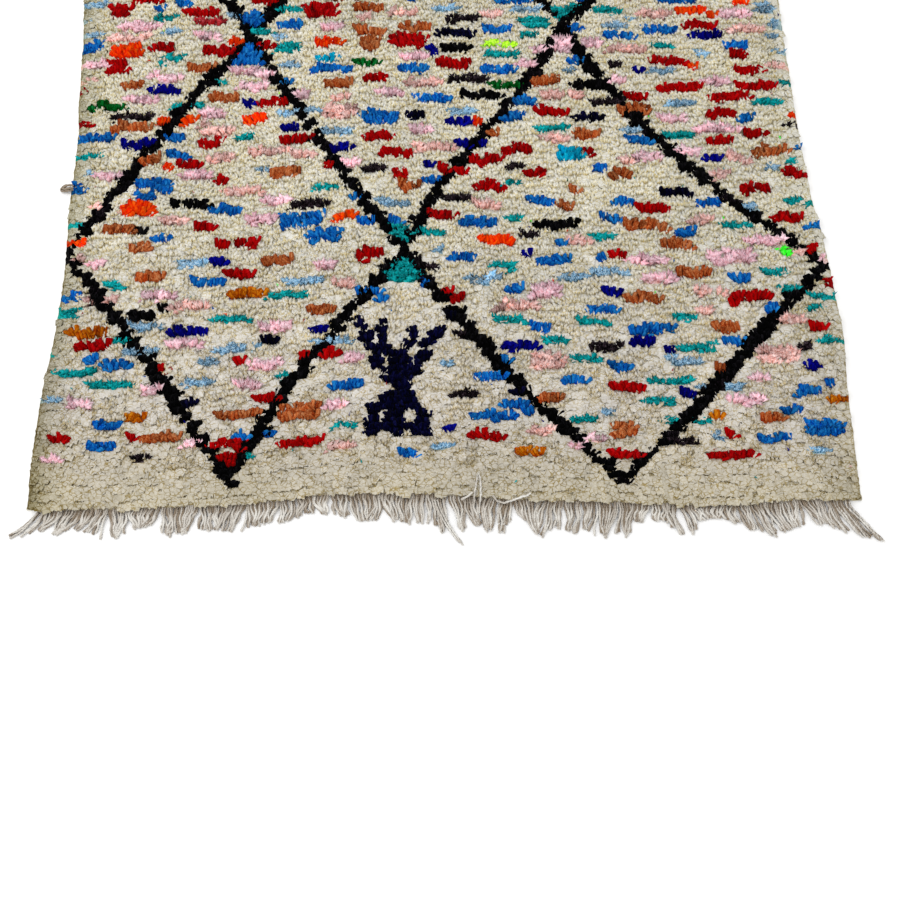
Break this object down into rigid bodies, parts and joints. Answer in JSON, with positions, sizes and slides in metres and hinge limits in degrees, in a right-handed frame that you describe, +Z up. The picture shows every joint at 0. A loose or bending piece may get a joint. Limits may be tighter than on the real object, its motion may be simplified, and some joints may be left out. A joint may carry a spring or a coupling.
{
  "type": "azilal rug",
  "caption": "Hand-knotted wool pile rug lying flat, cream with black diamond lines and short coloured bars, fringed at one end.",
  "frame": {"origin": "middle of the woven underside, on the surface that the rug lies on", "axes": "+Z up out of the pile, +Y along the rug away from the fringed end, +X to the right seen from the fringed end"},
  "size_m": [1.5563, 2.1942, 0.0214],
  "materials": {
    "knotted_wool": "matt hand-spun wool pile, cream with dyed bars and black lines",
    "cotton_warp": "matt off-white twisted cotton warp ends"
  },
  "bodies": {
    "root": {"rug": "knotted_wool", "fringe": "cotton_warp"}
  },
  "joints": []
}
